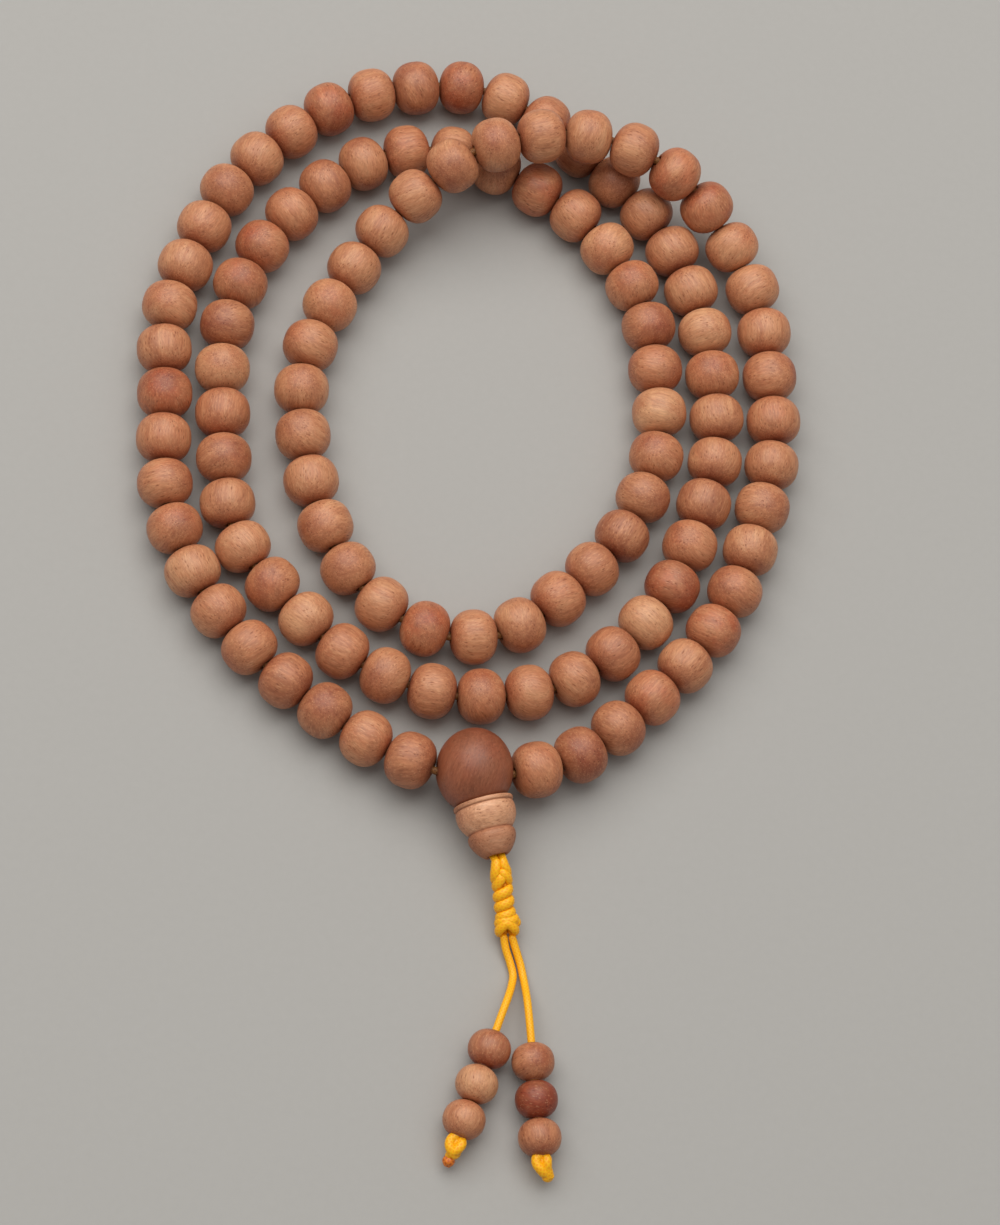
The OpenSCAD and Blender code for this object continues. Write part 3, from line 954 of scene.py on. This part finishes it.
def end_frame(side):
    """A function for points beside, above and along an end knot, in millimetres from the last
    bead's end."""
    first, last = COUNTERS[side, 1][0], COUNTERS[side, 3][0]
    ahead = (last - first).normalized()
    along = ahead * math.cos(KNOT_SLOPE) - UPRIGHT * math.sin(KNOT_SLOPE)
    across = UPRIGHT.cross(ahead).normalized()
    up = along.cross(across)
    at = last + ahead * KNOT_START
    return lambda x, y, s: at + (across * x + up * y + along * s) * MM


def add_end_piece(name, side, points, radius, material=CORD, shape=weave_shape):
    """A piece of an end knot. Its points and its radius are in millimetres."""
    point = end_frame(side)
    path = smooth_path([point(*p) for p in points], CORD_STEP)
    return cord_piece(name, path, "counter_" + side, radius * MM, material=material, shape=shape,
                      stands_for="end_knot_" + side)


def melted(angle, far, whole):
    """A tip that was melted: swollen and lumpy."""
    t = far / whole
    swell = 0.85 + 0.3 * math.sin(math.pi * t)
    lump = 1 + 0.06 * math.sin(3 * angle + 9 * t) + 0.05 * math.sin(5 * angle - 7 * t)
    return swell * lump * (1 + 0.12 * math.cos(angle) ** 2)


def cut_end(angle, far, whole):
    """A knot whose cord fans out a little and is cut off at a slant."""
    to_end = (whole - far) / MM
    fan = 1 + 0.22 * step(to_end, 2.6, 1.4)
    uneven = 1 + 0.12 * math.sin(3 * angle + 2) * step(to_end, 1.4, 0.4)
    return weave_shape(angle, far, whole) * fan * min(1.0, 0.6 + 0.5 * to_end) * uneven


def add_end_knots():
    """Two lobes in front of a core, and the cord's end: melted at the left, cut at the right."""
    left = add_end_piece("knot_left", "left", [
        (0, 0, -0.8), (-0.3, 0.1, -0.2), (-0.72, 0.35, 0.35), (-0.75, 0.6, 1.0),
        (-0.25, 0.78, 1.75), (0.3, 0.4, 2.25), (0.55, -0.3, 2.0), (0.2, -0.75, 1.3),
        (0.15, -0.6, 0.5), (0.55, 0.05, 0.15), (0.78, 0.55, 0.5), (0.6, 0.82, 1.15),
        (0.1, 0.7, 1.9), (-0.1, 0.2, 2.5), (-0.1, 0, 3.2)], 0.7)
    tip = add_end_piece("melted_tip_left", "left", [
        (0.8, 0.1, 3.2), (0.35, 0.2, 3.25), (-0.25, 0.2, 3.35), (-0.85, 0.1, 3.5)],
        0.7, MELTED, melted)
    right = add_end_piece("knot_right", "right", [
        (0, 0, -0.9), (-0.3, 0.15, -0.4), (-0.72, 0.35, 0), (-0.8, 0.6, 0.65),
        (-0.35, 0.85, 1.4), (0.25, 0.6, 2.1), (0.6, -0.2, 2.0), (0.35, -0.75, 1.2),
        (0.1, -0.6, 0.4), (0.4, 0, -0.1), (0.62, 0.5, 0.2), (0.6, 0.72, 0.9),
        (0.62, 0.5, 1.7), (0.75, 0.3, 2.5), (1.05, 0.1, 3.45)], 0.7, CORD, cut_end)
    core = [(-0.05, 0.1, -0.1), (-0.05, 0.3, 0.7), (0, 0.2, 1.5)]
    cores = {side: add_end_piece("knot_core_" + side, side, core, 0.62) for side in SIDES}
    return {"left": [left, cores["left"], tip], "right": [right, cores["right"]]}


END_KNOTS = add_end_knots()
for side, (piece, path) in CORD_PIECES.items():
    tuple(path[0])
    path_length(path)
    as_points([tuple(p) for p in path[::8]] + [tuple(path[-1])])


# ---------------------------------------------------------------- main cord

MAIN_CORD_STEP = 0.8 * MM
MAIN_CORD_SIDES = 16
INNER_SHIFT = 0.15 * MM  # how far a bend's tight cord lies from the holes' middle lines
HALF_GAP = 0.62 * MM  # from the tail's middle line to each of its two cords


def add_main_cord():
    """The cord on the holes' middle lines, with both ends turned down the tail hole."""
    bends = []
    for (at, ahead, *_), (there, their, *_) in zip(BEADS, BEADS[1:]):
        half = (there - at).dot(ahead) / (1 + math.cos(ahead.angle(their)))
        # the tight cord lies on the inner side of each bend
        bends.append(at + ahead * half + (their - ahead).normalized() * INNER_SHIFT)
    first = BEADS[0][0] * 2 - bends[0]
    last = BEADS[-1][0] * 2 - bends[-1]
    tail = [GURU_AT + TAIL * s * MM for s in (12.0, 6.0, 0.3)]
    route = [p - BESIDE_TAIL * HALF_GAP for p in tail] + [first]
    for bend, (at, *_) in zip(bends + [last], BEADS):
        route += [at, bend]
    route += [p + BESIDE_TAIL * HALF_GAP for p in reversed(tail)]
    path = smooth_path(route, MAIN_CORD_STEP)
    # the strung cord's dark material is painted shade for the gaps between the beads
    cord_piece("strung_cord", path, "strand", CORD_RADIUS, MAIN_CORD_SIDES, SHADE_PAINTED_CORD, None,
               "main_string")


add_main_cord()


# ---------------------------------------------------------------- floor and light

FLOOR_BELOW = 0.02 * MM  # keeps the floor's surface clear of what lies on it
SOFT_WHITE = (1.0, 0.985, 0.965)


def add_floor():
    half = 4.0
    mesh = bpy.data.meshes.new("floor")
    corners = [(-half, -half, 0), (half, -half, 0), (half, half, 0), (-half, half, 0)]
    mesh.from_pydata(corners, [], [(0, 1, 2, 3)])
    floor = bpy.data.objects.new("floor", mesh)
    scene.collection.objects.link(floor)
    floor.location.z = -FLOOR_BELOW
    material, net, shader = new_material("floor_paper")
    grain = net.noise(net.object_place(), 900.0, 3.0)
    colour = net.mix("MIX", grain, (0.392, 0.382, 0.362, 1), (0.41, 0.4, 0.38, 1))
    net.put(shader.inputs["Base Color"], colour)
    shader.inputs["Roughness"].default_value = 0.9
    shader.inputs["Specular IOR Level"].default_value = 0.15
    floor.data.materials.append(material)


def add_softbox(name, at, size, power, colour):
    """A rectangular light that faces the origin."""
    data = bpy.data.lights.new(name, "AREA")
    data.shape = "RECTANGLE"
    data.size, data.size_y = size
    data.energy, data.color = power, colour
    lamp = bpy.data.objects.new(name, data)
    scene.collection.objects.link(lamp)
    lamp.location = at
    lamp.rotation_euler = (-Vector(at)).to_track_quat("-Z", "Y").to_euler()


def add_world(colour, strength):
    world = bpy.data.worlds.new("studio")
    world.use_nodes = True
    background = world.node_tree.nodes["Background"]
    background.inputs["Color"].default_value = (*colour, 1)
    background.inputs["Strength"].default_value = strength
    scene.world = world


add_floor()
add_softbox("key", (-0.18, 0.37, 0.82), (1.2, 1.0), 9.7, SOFT_WHITE)
add_softbox("fill", (0.35, 0.1, 1.1), (1.2, 1.2), 2.8, SOFT_WHITE)
add_world((1.0, 0.985, 0.97), 0.27)
scene.view_settings.view_transform = "Standard"
